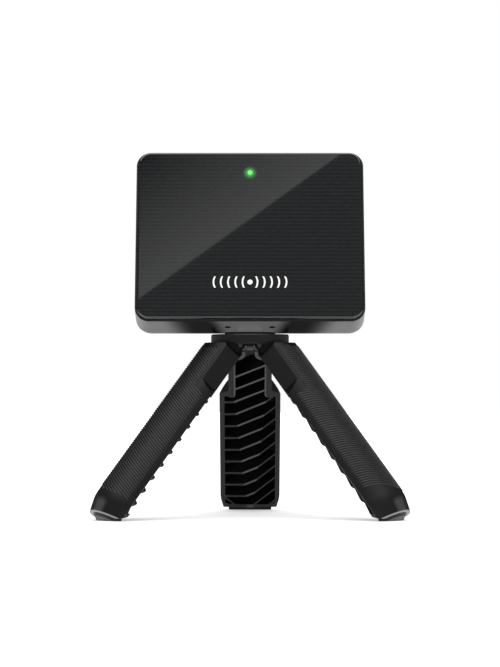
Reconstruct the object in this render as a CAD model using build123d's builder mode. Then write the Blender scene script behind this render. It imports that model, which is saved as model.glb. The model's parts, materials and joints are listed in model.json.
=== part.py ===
from build123d import *
import os
from math import cos, pi, radians, sin, tan

# Compact golf launch monitor: a flat radar head, leaning back, screwed onto a mini tripod with three
# folding legs.
# Millimetres. +Z is up, the radar face looks towards -Y, and the feet stand on Z = 0.

# ---------------------------------------------------------------- driving dimensions

HEAD_WIDTH = 89.0
COVER_HEIGHT = 68.9
HEAD_DEPTH = 25.0
HEAD_TILT = 17.7
CORNER_RADIUS = 5.7
BACK_RADIUS = 10.0
CORNER_GROWTH = 0.4
DOME_STEPS = 6
STEP = 0.7
WALL = 1.8
COVER_DEPTH = 2.3
COVER_FACE = 1.5
FACE_ROUND = 0.8

AXIS_Y = -14.0
FACE_SETBACK = 12.1
FACE_BOTTOM_Z = 76.8

LEG_TILT = 39.3
HINGE_RADIUS = 6.0
HINGE_Z = 66.4
FOLD_GAP = 1.0
AZIMUTHS = {"right": 330, "rear": 90, "left": 210}

HUB_RADIUS = 15.1
HUB_BOTTOM = 66.8
HUB_TOP = 70.6
LEG_STOP_Z = 67.4
STOP_GAP = 0.05
PAD_RADIUS = 9.8
PAD_TOP = 71.45
SEAT_Z = 71.5

STUD_RADIUS = 3.175
RUNNING_GAP = 0.05
MOVING_GAP = 0.3

# ---------------------------------------------------------------- the head's own frame

# Local x runs across the face, y up the face from the cover's lower edge, and depth is counted backwards
# from the face.
HEAD = Plane(
    origin=(0, AXIS_Y - FACE_SETBACK, FACE_BOTTOM_Z),
    x_dir=(1, 0, 0),
    z_dir=(0, -cos(radians(HEAD_TILT)), sin(radians(HEAD_TILT))),
)
HOUSING_HEIGHT = COVER_HEIGHT + 2 * STEP
MIDDLE = COVER_HEIGHT / 2
HALF_WIDTH = HEAD_WIDTH / 2
STRAIGHT_DEPTH = HEAD_DEPTH - BACK_RADIUS
INNER_BACK = HEAD_DEPTH - WALL


def at_depth(depth):
    return HEAD.offset(-depth)


def head_block(front, back, width, height, x=0.0, up=MIDDLE, corner=0.0):
    """A flat block between two depths, centred on (x, up), with rounded corners if corner is above zero."""
    with BuildPart() as block:
        with BuildSketch(at_depth(back)):
            with Locations((x, up)):
                if corner > 0:
                    RectangleRounded(width, height, corner)
                else:
                    Rectangle(width, height)
        extrude(amount=back - front)
    return block.part


def head_cylinder(front, back, radius, x=0.0, up=MIDDLE):
    """A round peg square to the face, between two depths."""
    with BuildPart() as peg:
        with BuildSketch(at_depth(back)):
            with Locations((x, up)):
                Circle(radius)
        extrude(amount=back - front)
    return peg.part


def side_plane(x, depth, up, facing):
    """A plane on the head's side at a given x: its x runs up the face, and its normal along facing."""
    origin = HEAD.from_local_coords(Vector(x, up, -depth))
    return Plane(origin=origin, x_dir=HEAD.y_dir, z_dir=(facing, 0, 0))


def rounded_shell(inset, front):
    """The housing's solid shape, shrunk by inset on every side but the front, with domed back edges."""
    radius = BACK_RADIUS - inset
    width = HEAD_WIDTH - 2 * inset
    height = HOUSING_HEIGHT - 2 * inset
    corner = CORNER_RADIUS - inset
    with BuildPart() as shell:
        with BuildSketch(at_depth(STRAIGHT_DEPTH)):
            with Locations((0, MIDDLE)):
                RectangleRounded(width, height, corner)
        extrude(amount=STRAIGHT_DEPTH - front)
        for step in range(DOME_STEPS + 1):
            angle = pi / 2 * step / DOME_STEPS
            shrink = radius * (1 - cos(angle))
            with BuildSketch(at_depth(STRAIGHT_DEPTH + radius * sin(angle))):
                with Locations((0, MIDDLE)):
                    RectangleRounded(width - 2 * shrink, height - 2 * shrink, corner + CORNER_GROWTH * shrink)
        loft()
    return shell.part


def export(piece, name):
    piece.label = name
    export_step(piece, "parts/" + name + ".step")


os.makedirs("parts", exist_ok=True)

# ---------------------------------------------------------------- fastening points in the head

SCREW_X = 37.4
SCREW_LOW = 6.6
SCREW_HIGH = COVER_HEIGHT - SCREW_LOW
SCREW_SPOTS = [(x, up) for x in (-SCREW_X, SCREW_X) for up in (SCREW_LOW, SCREW_HIGH)]
SCREW_RADIUS = 1.0
SCREW_BORE = 1.15
SCREW_HEAD_RADIUS = 1.9
SCREW_HEAD_HEIGHT = 1.4
SCREW_SEAT = 18.0
SCREW_TIP = 3.0
SCREW_POCKET = 2.2
BOSS_RADIUS = 3.2
COVER_BOSS_RADIUS = 2.6
FRAME_FRONT = 5.6
FRAME_BACK = 8.6

# ---------------------------------------------------------------- front cover, lens and mark

LED_UP = 60.4
LENS_RADIUS = 0.95
LENS_FLANGE_RADIUS = 1.6
LENS_FLANGE = 0.6
TONGUE_BACK = 4.3
TONGUE_INSET = 1.2
TONGUE_WALL = 1.2
MARK_UP = 14.6
MARK_DOT = 1.0
MARK_PITCH = 2.8
MARK_HEIGHT = 4.6
MARK_LINE = 0.62
MARK_RELIEF = 0.06
MARK_WAVES = 5
MARK_PHASE = 0.15

with BuildPart() as front_cover:
    with BuildSketch(at_depth(COVER_DEPTH)):
        with Locations((0, MIDDLE)):
            RectangleRounded(HEAD_WIDTH - 2 * STEP, COVER_HEIGHT, CORNER_RADIUS - STEP)
    extrude(amount=COVER_DEPTH)
    face_edges = front_cover.faces().sort_by(Axis(HEAD.origin, HEAD.z_dir))[-1].edges()
    fillet(face_edges, FACE_ROUND)
    with BuildSketch(at_depth(TONGUE_BACK)):
        with Locations((0, MIDDLE)):
            RectangleRounded(
                HEAD_WIDTH - 2 * TONGUE_INSET, HOUSING_HEIGHT - 2 * TONGUE_INSET, CORNER_RADIUS - TONGUE_INSET
            )
    extrude(amount=TONGUE_BACK - COVER_DEPTH)
    inner = TONGUE_INSET + TONGUE_WALL
    add(
        head_block(
            COVER_FACE,
            TONGUE_BACK,
            HEAD_WIDTH - 2 * inner,
            HOUSING_HEIGHT - 2 * inner,
            corner=CORNER_RADIUS - inner,
        ),
        mode=Mode.SUBTRACT,
    )
    for x, up in SCREW_SPOTS:
        add(head_cylinder(COVER_FACE, FRAME_FRONT, COVER_BOSS_RADIUS, x, up))
        add(head_cylinder(SCREW_TIP, FRAME_FRONT, SCREW_RADIUS, x, up), mode=Mode.SUBTRACT)
    add(head_cylinder(0, COVER_FACE, LENS_RADIUS, 0, LED_UP), mode=Mode.SUBTRACT)
export(front_cover.part, "front_cover")

with BuildPart() as status_lens:
    add(head_cylinder(0, LENS_FLANGE + COVER_FACE, LENS_RADIUS, 0, LED_UP))
    add(head_cylinder(COVER_FACE, COVER_FACE + LENS_FLANGE, LENS_FLANGE_RADIUS, 0, LED_UP))
export(status_lens.part, "status_lens")

# A generic mark: a ball with radar waves leaving it on both sides, raised by the thickness of a print.
with BuildPart() as front_mark:
    with BuildSketch(HEAD):
        with Locations((0, MARK_UP)):
            Circle(MARK_DOT)
    for side in (-1, 1):
        for wave in range(1, MARK_WAVES + 1):
            middle_x = side * MARK_PITCH * (wave + MARK_PHASE)
            with BuildSketch(HEAD):
                with BuildLine():
                    ThreePointArc(
                        (middle_x - side * MARK_LINE, MARK_UP + MARK_HEIGHT / 2),
                        (middle_x, MARK_UP),
                        (middle_x - side * MARK_LINE, MARK_UP - MARK_HEIGHT / 2),
                    )
                    Line(
                        (middle_x - side * MARK_LINE, MARK_UP - MARK_HEIGHT / 2),
                        (middle_x - 2 * side * MARK_LINE, MARK_UP - MARK_HEIGHT / 2),
                    )
                    ThreePointArc(
                        (middle_x - 2 * side * MARK_LINE, MARK_UP - MARK_HEIGHT / 2),
                        (middle_x - side * MARK_LINE, MARK_UP),
                        (middle_x - 2 * side * MARK_LINE, MARK_UP + MARK_HEIGHT / 2),
                    )
                    Line(
                        (middle_x - 2 * side * MARK_LINE, MARK_UP + MARK_HEIGHT / 2),
                        (middle_x - side * MARK_LINE, MARK_UP + MARK_HEIGHT / 2),
                    )
                make_face()
    extrude(amount=MARK_RELIEF)
export(front_mark.part, "front_mark")

# ---------------------------------------------------------------- rear housing

GASKET_BACK = 5.1
RIM_WALL = 1.1
BUTTON_UP = 48.0
PORT_DEPTH = 11.5
BUTTON_LENGTH = 11.0
BUTTON_WIDTH = 4.4
DOOR_UP = 34.0
DOOR_LENGTH = 15.0
DOOR_WIDTH = 6.4
DOOR_RECESS = 2.1
DOOR_SUNK = 0.1
DOOR_BARREL = 0.8
DOOR_PIN_RADIUS = 0.4
PIN_GRIP = 0.9
RECESS_CORNER = 1.0
PORT_PAD = 3.3
PORT_PAD_MARGIN = 1.4
USB_WIDTH = 8.94
USB_HEIGHT = 3.26
USB_LENGTH = 7.3
USB_SKIN = 0.3
USB_TONGUE = 0.7
USB_TONGUE_WIDTH = 6.7
USB_TONGUE_SET = 1.0
PORT_CLEARANCE = 0.5
VENT_RADIUS = 0.6
VENT_UP = 12.0
FOOT_RADIUS = 5.2
FOOT_HOLE_GAP = 0.05
SPOT_RADIUS = 10.4
FOOT_SCREW_X = 8.6
FOOT_SCREW_DEPTH = 9.0

door_side = -HALF_WIDTH
button_side = HALF_WIDTH
door_outer = door_side + DOOR_SUNK
door_top = DOOR_UP + DOOR_LENGTH / 2
pin_up = door_top - DOOR_BARREL
pin_x = door_outer + DOOR_BARREL


def door_rod(radius, length):
    """A rod on the charging door's hinge line, along the head's depth and centred on the door."""
    rod_end = HEAD.from_local_coords(Vector(pin_x, pin_up, -PORT_DEPTH - length / 2))
    with BuildPart() as rod:
        with BuildSketch(Plane(origin=rod_end, x_dir=HEAD.x_dir, z_dir=HEAD.z_dir)):
            Circle(radius)
        extrude(amount=length)
    return rod.part


with BuildPart() as door_pin:
    add(door_rod(DOOR_PIN_RADIUS, DOOR_WIDTH + 2 * MOVING_GAP + 2 * PIN_GRIP))
export(door_pin.part, "door_pin")

with BuildPart() as cavity:
    add(rounded_shell(WALL, GASKET_BACK))
    for x, up in SCREW_SPOTS:
        add(head_cylinder(FRAME_BACK, HEAD_DEPTH, BOSS_RADIUS, x, up), mode=Mode.SUBTRACT)
    # A thick pad behind the charging port's recess.
    with BuildSketch(side_plane(door_side, PORT_DEPTH, DOOR_UP, 1)):
        RectangleRounded(DOOR_LENGTH + 2 * PORT_PAD_MARGIN, DOOR_WIDTH + 2 * PORT_PAD_MARGIN, RECESS_CORNER)
    extrude(amount=PORT_PAD, mode=Mode.SUBTRACT)

with BuildPart() as rear_housing:
    add(rounded_shell(0, COVER_DEPTH))
    add(
        head_block(
            COVER_DEPTH,
            GASKET_BACK,
            HEAD_WIDTH - 2 * RIM_WALL,
            HOUSING_HEIGHT - 2 * RIM_WALL,
            corner=CORNER_RADIUS - RIM_WALL,
        ),
        mode=Mode.SUBTRACT,
    )
    add(cavity.part, mode=Mode.SUBTRACT)
    for x, up in SCREW_SPOTS:
        add(head_cylinder(SCREW_SEAT, HEAD_DEPTH + 1, SCREW_POCKET, x, up), mode=Mode.SUBTRACT)
        add(head_cylinder(FRAME_BACK, SCREW_SEAT, SCREW_BORE, x, up), mode=Mode.SUBTRACT)
    # Power button opening on the right, charging port recess and opening on the left.
    with BuildSketch(side_plane(button_side, PORT_DEPTH, BUTTON_UP, -1)):
        SlotOverall(BUTTON_LENGTH + 2 * MOVING_GAP, BUTTON_WIDTH + 2 * MOVING_GAP)
    extrude(amount=WALL + 1, mode=Mode.SUBTRACT)
    with BuildSketch(side_plane(door_side, PORT_DEPTH, DOOR_UP, 1)):
        RectangleRounded(DOOR_LENGTH + 2 * MOVING_GAP, DOOR_WIDTH + 2 * MOVING_GAP, RECESS_CORNER)
    extrude(amount=DOOR_RECESS, mode=Mode.SUBTRACT)
    add(door_pin.part, mode=Mode.SUBTRACT)
    with BuildSketch(side_plane(door_side, PORT_DEPTH, DOOR_UP, 1)):
        SlotOverall(USB_WIDTH + 2 * PORT_CLEARANCE, USB_HEIGHT + 2 * PORT_CLEARANCE)
    extrude(amount=PORT_PAD, mode=Mode.SUBTRACT)
    add(head_cylinder(INNER_BACK - 1, HEAD_DEPTH + 1, VENT_RADIUS, 0, VENT_UP), mode=Mode.SUBTRACT)
    # The threaded foot comes through the floor upright, and a level spot face seats the tripod's pad.
    with BuildSketch(Plane.XY.offset(SEAT_Z)):
        with Locations((0, AXIS_Y)):
            Circle(FOOT_RADIUS + FOOT_HOLE_GAP)
    extrude(amount=10, mode=Mode.SUBTRACT)
    with BuildSketch(Plane.XY.offset(SEAT_Z)):
        with Locations((0, AXIS_Y)):
            Circle(SPOT_RADIUS)
    extrude(amount=-5, mode=Mode.SUBTRACT)
    for x in (-FOOT_SCREW_X, FOOT_SCREW_X):
        foot_screw_axis = Plane(
            origin=HEAD.from_local_coords(Vector(x, -STEP - 1, -FOOT_SCREW_DEPTH)),
            x_dir=HEAD.x_dir,
            z_dir=HEAD.y_dir,
        )
        with BuildSketch(foot_screw_axis):
            Circle(SCREW_BORE)
        extrude(amount=WALL + 2, mode=Mode.SUBTRACT)
export(rear_housing.part, "rear_housing")

gasket_outer = RIM_WALL + 0.05
gasket_inner = RIM_WALL + TONGUE_WALL
with BuildPart() as cover_gasket:
    add(
        head_block(
            TONGUE_BACK,
            GASKET_BACK,
            HEAD_WIDTH - 2 * gasket_outer,
            HOUSING_HEIGHT - 2 * gasket_outer,
            corner=CORNER_RADIUS - gasket_outer,
        )
    )
    add(
        head_block(
            TONGUE_BACK,
            GASKET_BACK,
            HEAD_WIDTH - 2 * gasket_inner,
            HOUSING_HEIGHT - 2 * gasket_inner,
            corner=CORNER_RADIUS - gasket_inner,
        ),
        mode=Mode.SUBTRACT,
    )
export(cover_gasket.part, "cover_gasket")

HEX_RADIUS = 0.85
HEX_DEPTH = 0.9

with BuildPart() as housing_screws:
    for x, up in SCREW_SPOTS:
        add(head_cylinder(SCREW_TIP, SCREW_SEAT, SCREW_RADIUS, x, up))
        add(head_cylinder(SCREW_SEAT, SCREW_SEAT + SCREW_HEAD_HEIGHT, SCREW_HEAD_RADIUS, x, up))
        with BuildSketch(at_depth(SCREW_SEAT + SCREW_HEAD_HEIGHT)):
            with Locations((x, up)):
                RegularPolygon(HEX_RADIUS, 6)
        extrude(amount=HEX_DEPTH, mode=Mode.SUBTRACT)
export(housing_screws.part, "housing_screws")

# ---------------------------------------------------------------- threaded foot under the head

FOOT_TOP = 78.6
FOOT_FLANGE_WIDTH = 22.4
FOOT_FLANGE_DEPTH = 9.0
FOOT_FLANGE_MIDDLE = 10.3
FOOT_FLANGE_HEIGHT = 1.6
INSERT_RADIUS = 4.2
INSERT_TOP = 78.0
STUD_TOP = 76.9
STUD_ROOM = 0.4
FLANGE_CORNER = 2.0

floor_up = WALL - STEP

with BuildPart() as base_foot:
    # Flange plate lying on the tilted floor inside the housing.
    with BuildSketch(
        Plane(
            origin=HEAD.from_local_coords(Vector(0, floor_up, -FOOT_FLANGE_MIDDLE)),
            x_dir=HEAD.x_dir,
            z_dir=HEAD.y_dir,
        )
    ):
        RectangleRounded(FOOT_FLANGE_WIDTH, FOOT_FLANGE_DEPTH, FLANGE_CORNER)
    extrude(amount=FOOT_FLANGE_HEIGHT)
    with BuildSketch(Plane.XY.offset(SEAT_Z)):
        with Locations((0, AXIS_Y)):
            Circle(FOOT_RADIUS)
    extrude(amount=FOOT_TOP - SEAT_Z)
    with BuildSketch(Plane.XY.offset(SEAT_Z)):
        with Locations((0, AXIS_Y)):
            Circle(INSERT_RADIUS)
    extrude(amount=INSERT_TOP - SEAT_Z, mode=Mode.SUBTRACT)
    for x in (-FOOT_SCREW_X, FOOT_SCREW_X):
        with BuildSketch(
            Plane(
                origin=HEAD.from_local_coords(Vector(x, floor_up, -FOOT_SCREW_DEPTH)),
                x_dir=HEAD.x_dir,
                z_dir=HEAD.y_dir,
            )
        ):
            Circle(SCREW_BORE)
        extrude(amount=FOOT_FLANGE_HEIGHT, mode=Mode.SUBTRACT)
export(base_foot.part, "base_foot")

with BuildPart() as thread_insert:
    with BuildSketch(Plane.XY.offset(SEAT_Z)):
        with Locations((0, AXIS_Y)):
            Circle(INSERT_RADIUS)
    extrude(amount=INSERT_TOP - SEAT_Z)
    with BuildSketch(Plane.XY.offset(SEAT_Z)):
        with Locations((0, AXIS_Y)):
            Circle(STUD_RADIUS + RUNNING_GAP)
    extrude(amount=STUD_TOP + STUD_ROOM - SEAT_Z, mode=Mode.SUBTRACT)
export(thread_insert.part, "thread_insert")

with BuildPart() as foot_screws:
    for x in (-FOOT_SCREW_X, FOOT_SCREW_X):
        screw_top = Plane(
            origin=HEAD.from_local_coords(Vector(x, floor_up + FOOT_FLANGE_HEIGHT, -FOOT_SCREW_DEPTH)),
            x_dir=HEAD.x_dir,
            z_dir=HEAD.y_dir,
        )
        with BuildSketch(screw_top):
            Circle(SCREW_RADIUS)
        extrude(amount=-(FOOT_FLANGE_HEIGHT + WALL - 0.1))
        with BuildSketch(screw_top):
            Circle(SCREW_HEAD_RADIUS)
        extrude(amount=SCREW_HEAD_HEIGHT)
        with BuildSketch(screw_top.offset(SCREW_HEAD_HEIGHT)):
            RegularPolygon(HEX_RADIUS, 6)
        extrude(amount=-HEX_DEPTH, mode=Mode.SUBTRACT)
export(foot_screws.part, "foot_screws")

# ---------------------------------------------------------------- radar board, frame and main board

RADAR_FRONT = 4.6
BOARD_WIDTH = 72.0
BOARD_HEIGHT = 55.0
BOARD_MIDDLE = 35.5
NOTCH_RADIUS = 3.8
PATCH_SIZE = 3.4
PATCH_PITCH = 6.2
PATCH_RELIEF = 0.15
PATCH_COLUMNS = 8
PATCH_ROWS = 5
LED_HEIGHT = 0.5
MAIN_BACK = 9.8
FRAME_RING = 4.0
BOARD_CORNER = 1.0
BOARD_SCREW_PITCH = 34.0
BOARD_SCREW_RADIUS = 0.7
BOARD_SCREW_BORE = 0.85
BOARD_SCREW_REACH = 2.2
BOARD_SCREW_HOLE = 2.4
BOARD_SCREW_HEAD = 1.4
BOARD_SCREW_HEAD_HEIGHT = 0.9
CAN_SKIN = 0.3
RADAR_CAN = 2.0
MAIN_CAN = 1.8
PLUG_HEIGHT = 3.2
LINK_WIDTH = 16.0
LINK_DEPTH = 4.0
LINK_UP = 15.4


def board(front, back):
    """A circuit board with its corners cut round the four housing bosses."""
    with BuildPart() as blank:
        add(head_block(front, back, BOARD_WIDTH, BOARD_HEIGHT, up=BOARD_MIDDLE, corner=BOARD_CORNER))
        for x, up in SCREW_SPOTS:
            add(head_cylinder(front, back, NOTCH_RADIUS, x, up), mode=Mode.SUBTRACT)
    return blank.part


def board_discs(back, radius, amount):
    """Four discs at the boards' screw places, grown from a depth plane."""
    with BuildPart() as discs:
        with BuildSketch(at_depth(back)):
            with Locations((0, BOARD_MIDDLE)):
                with GridLocations(BOARD_WIDTH - FRAME_RING, BOARD_SCREW_PITCH, 2, 2):
                    Circle(radius)
        extrude(amount=amount)
    return discs.part


with BuildPart() as radar_board:
    add(board(RADAR_FRONT, FRAME_FRONT))
export(radar_board.part, "radar_board")

with BuildPart() as antenna_patches:
    with BuildSketch(at_depth(RADAR_FRONT)):
        with Locations((0, BOARD_MIDDLE)):
            with GridLocations(PATCH_PITCH, PATCH_PITCH, PATCH_COLUMNS, PATCH_ROWS):
                Rectangle(PATCH_SIZE, PATCH_SIZE)
    extrude(amount=PATCH_RELIEF)
export(antenna_patches.part, "antenna_patches")

with BuildPart() as status_led:
    add(head_block(RADAR_FRONT - LED_HEIGHT, RADAR_FRONT, 1.6, 0.9, up=LED_UP))
export(status_led.part, "status_led")


def shield_can(front, back, width, height, x, up):
    """A thin pressed can, open towards the board at its front."""
    with BuildPart() as can:
        add(head_block(front, back, width, height, x, up, corner=0.8))
        hollow = (width - 2 * CAN_SKIN, height - 2 * CAN_SKIN)
        add(head_block(front, back - CAN_SKIN, *hollow, x, up, corner=0.5), mode=Mode.SUBTRACT)
    return can.part


with BuildPart() as radar_shield:
    add(shield_can(FRAME_FRONT, FRAME_FRONT + RADAR_CAN, 30.0, 24.0, 0, BOARD_MIDDLE + 4))
export(radar_shield.part, "radar_shield")

with BuildPart() as board_frame:
    add(board(FRAME_FRONT, FRAME_BACK))
    add(
        head_block(
            FRAME_FRONT,
            FRAME_BACK,
            BOARD_WIDTH - 2 * FRAME_RING,
            BOARD_HEIGHT - 2 * FRAME_RING,
            up=BOARD_MIDDLE,
            corner=2.0,
        ),
        mode=Mode.SUBTRACT,
    )
    for x, up in SCREW_SPOTS:
        add(head_cylinder(FRAME_FRONT, FRAME_BACK, NOTCH_RADIUS + 0.6, x, up))
        add(head_cylinder(FRAME_FRONT, FRAME_BACK, SCREW_BORE, x, up), mode=Mode.SUBTRACT)
    add(board_discs(FRAME_BACK, BOARD_SCREW_RADIUS, BOARD_SCREW_HOLE), mode=Mode.SUBTRACT)
export(board_frame.part, "board_frame")

with BuildPart() as main_board:
    add(board(FRAME_BACK, MAIN_BACK))
    add(board_discs(MAIN_BACK, BOARD_SCREW_BORE, MAIN_BACK - FRAME_BACK), mode=Mode.SUBTRACT)
export(main_board.part, "main_board")

with BuildPart() as board_screws:
    add(board_discs(MAIN_BACK, BOARD_SCREW_RADIUS, MAIN_BACK - FRAME_BACK + BOARD_SCREW_REACH))
    add(board_discs(MAIN_BACK, BOARD_SCREW_HEAD, -BOARD_SCREW_HEAD_HEIGHT))
export(board_screws.part, "board_screws")

with BuildPart() as board_link:
    add(head_block(FRAME_FRONT, FRAME_BACK, LINK_WIDTH, LINK_DEPTH, 0, LINK_UP, corner=0.5))
export(board_link.part, "board_link")

with BuildPart() as main_shield:
    add(shield_can(MAIN_BACK, MAIN_BACK + MAIN_CAN, 22.0, 18.0, -8, 46))
export(main_shield.part, "main_shield")

with BuildPart() as bluetooth_module:
    add(head_block(MAIN_BACK, MAIN_BACK + MAIN_CAN, 10.0, 13.0, 16, 48))
export(bluetooth_module.part, "bluetooth_module")

with BuildPart() as battery_plug:
    add(head_block(MAIN_BACK, MAIN_BACK + PLUG_HEIGHT, 8.0, 4.6, -22, 13.5, corner=0.5))
export(battery_plug.part, "battery_plug")

# ---------------------------------------------------------------- battery

BATTERY_FRONT = 13.2
BATTERY_BACK = 19.2
BATTERY_WIDTH = 52.0
BATTERY_HEIGHT = 36.0
BATTERY_UP = 37.0
TRAY_WALL = 1.0
TRAY_LIP = 3.0
MEMBRANE_RADIUS = 2.8
MEMBRANE_THICK = 0.3
PACK_CORNER = 2.5

with BuildPart() as battery_pack:
    cell = head_block(BATTERY_FRONT, BATTERY_BACK, BATTERY_WIDTH, BATTERY_HEIGHT, 0, BATTERY_UP, corner=PACK_CORNER)
    add(cell)
export(battery_pack.part, "battery_pack")

with BuildPart() as battery_tray:
    add(
        head_block(
            BATTERY_BACK - TRAY_LIP,
            BATTERY_BACK + TRAY_WALL,
            BATTERY_WIDTH + 2 * TRAY_WALL,
            BATTERY_HEIGHT + 2 * TRAY_WALL,
            0,
            BATTERY_UP,
            corner=PACK_CORNER + TRAY_WALL,
        )
    )
    add(
        head_block(
            BATTERY_BACK - TRAY_LIP, BATTERY_BACK, BATTERY_WIDTH, BATTERY_HEIGHT, 0, BATTERY_UP, corner=2.5
        ),
        mode=Mode.SUBTRACT,
    )
export(battery_tray.part, "battery_tray")

with BuildPart() as battery_foam:
    add(head_block(BATTERY_BACK + TRAY_WALL, INNER_BACK, 44.0, 28.0, 0, BATTERY_UP, corner=2.0))
export(battery_foam.part, "battery_foam")

with BuildPart() as vent_membrane:
    add(head_cylinder(INNER_BACK - MEMBRANE_THICK, INNER_BACK, MEMBRANE_RADIUS, 0, VENT_UP))
export(vent_membrane.part, "vent_membrane")

# ---------------------------------------------------------------- power button on the right side

BUTTON_SUNK = 0.1
BUTTON_CAP = 2.5
BUTTON_FLANGE = 0.5
BUTTON_FLANGE_LIP = 0.6
BUTTON_EDGE = 0.35
SYMBOL_OUTER = 1.15
SYMBOL_INNER = 0.85
SYMBOL_DEEP = 0.15
BOOT_GAP = 0.45
BOOT_THICK = 1.2
BOOT_SKIN = 0.5
SWITCH_STEM = 0.6
SWITCH_DEPTH = 3.4

button_outer = button_side - BUTTON_SUNK
button_inner = button_outer - BUTTON_CAP

with BuildPart() as power_button:
    with BuildSketch(side_plane(button_inner, PORT_DEPTH, BUTTON_UP, 1)):
        SlotOverall(BUTTON_LENGTH, BUTTON_WIDTH)
    extrude(amount=BUTTON_CAP)
    outer_edges = power_button.faces().sort_by(Axis.X)[-1].edges()
    fillet(outer_edges, BUTTON_EDGE)
    with BuildSketch(side_plane(button_inner, PORT_DEPTH, BUTTON_UP, 1)):
        SlotOverall(BUTTON_LENGTH + 2 * BUTTON_FLANGE_LIP, BUTTON_WIDTH + 2 * BUTTON_FLANGE_LIP)
    extrude(amount=BUTTON_FLANGE)
    # A power symbol sunk into the cap: an open ring and a bar.
    with BuildSketch(side_plane(button_outer, PORT_DEPTH, BUTTON_UP, -1)):
        Circle(SYMBOL_OUTER)
        Circle(SYMBOL_INNER, mode=Mode.SUBTRACT)
        with Locations((1.0, 0)):
            Rectangle(1.0, 0.8, mode=Mode.SUBTRACT)
        with Locations((0.85, 0)):
            Rectangle(1.1, 0.3)
    extrude(amount=SYMBOL_DEEP, mode=Mode.SUBTRACT)
export(power_button.part, "power_button")

boot_outer = button_inner - BOOT_GAP
with BuildPart() as button_boot:
    with BuildSketch(side_plane(boot_outer - BOOT_THICK, PORT_DEPTH, BUTTON_UP, 1)):
        SlotOverall(BUTTON_LENGTH + 1.0, BUTTON_WIDTH + 1.0)
    extrude(amount=BOOT_THICK)
    with BuildSketch(side_plane(boot_outer - BOOT_THICK, PORT_DEPTH, BUTTON_UP, 1)):
        SlotOverall(BUTTON_LENGTH - 0.6, BUTTON_WIDTH - 0.6)
    extrude(amount=BOOT_THICK - BOOT_SKIN, mode=Mode.SUBTRACT)
export(button_boot.part, "button_boot")

switch_outer = boot_outer - BOOT_THICK
with BuildPart() as tact_switch:
    with BuildSketch(side_plane(switch_outer - SWITCH_DEPTH, MAIN_BACK + 1.75, BUTTON_UP, 1)):
        Rectangle(6.0, 3.5)
    extrude(amount=SWITCH_DEPTH)
    with BuildSketch(side_plane(switch_outer, PORT_DEPTH, BUTTON_UP, 1)):
        SlotOverall(3.0, 1.4)
    extrude(amount=SWITCH_STEM)
export(tact_switch.part, "tact_switch")

# ---------------------------------------------------------------- charging port and its door on the left side

DOOR_THICK = 1.1
PLUG_DEPTH = 1.1
PLUG_LENGTH = 8.6
PLUG_WIDTH = 2.9
PLUG_WALL = 0.8
DOOR_CORNER = 0.7
SCOOP_UP = 1.7
SCOOP_WIDTH = 3.6
SCOOP_LENGTH = 1.0
SCOOP_DEEP = 0.5

port_pad_inner = door_side + PORT_PAD

with BuildPart() as usb_socket:
    with BuildSketch(side_plane(port_pad_inner, PORT_DEPTH, DOOR_UP, 1)):
        SlotOverall(USB_WIDTH, USB_HEIGHT)
    extrude(amount=USB_LENGTH)
    with BuildSketch(side_plane(port_pad_inner, PORT_DEPTH, DOOR_UP, 1)):
        SlotOverall(USB_WIDTH - 2 * USB_SKIN, USB_HEIGHT - 2 * USB_SKIN)
    extrude(amount=USB_LENGTH - 2 * USB_SKIN, mode=Mode.SUBTRACT)
    with BuildSketch(side_plane(port_pad_inner + USB_TONGUE_SET, PORT_DEPTH, DOOR_UP, 1)):
        Rectangle(USB_TONGUE_WIDTH, USB_TONGUE)
    extrude(amount=USB_LENGTH - USB_TONGUE_SET - USB_SKIN)
export(usb_socket.part, "usb_socket")

with BuildPart() as usb_door:
    with BuildSketch(side_plane(door_outer, PORT_DEPTH, DOOR_UP - DOOR_BARREL / 2, 1)):
        RectangleRounded(DOOR_LENGTH - DOOR_BARREL, DOOR_WIDTH, DOOR_CORNER)
    extrude(amount=DOOR_THICK)
    add(door_rod(DOOR_BARREL, DOOR_WIDTH))
    add(door_rod(DOOR_PIN_RADIUS + RUNNING_GAP, DOOR_WIDTH), mode=Mode.SUBTRACT)
    # Thumbnail groove across the free end.
    with BuildSketch(side_plane(door_outer, PORT_DEPTH, DOOR_UP - DOOR_LENGTH / 2 + SCOOP_UP, 1)):
        SlotOverall(SCOOP_WIDTH, SCOOP_LENGTH, rotation=90)
    extrude(amount=SCOOP_DEEP, mode=Mode.SUBTRACT)
export(usb_door.part, "usb_door")

door_inner = door_outer + DOOR_THICK
with BuildPart() as door_plug:
    with BuildSketch(side_plane(door_inner, PORT_DEPTH, DOOR_UP, 1)):
        SlotOverall(PLUG_LENGTH, PLUG_WIDTH)
    extrude(amount=PLUG_DEPTH)
    with BuildSketch(side_plane(door_inner, PORT_DEPTH, DOOR_UP, 1)):
        SlotOverall(PLUG_LENGTH - 2 * PLUG_WALL, PLUG_WIDTH - 2 * PLUG_WALL)
    extrude(amount=PLUG_DEPTH, mode=Mode.SUBTRACT)
export(door_plug.part, "door_plug")

# ---------------------------------------------------------------- tripod legs

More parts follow.
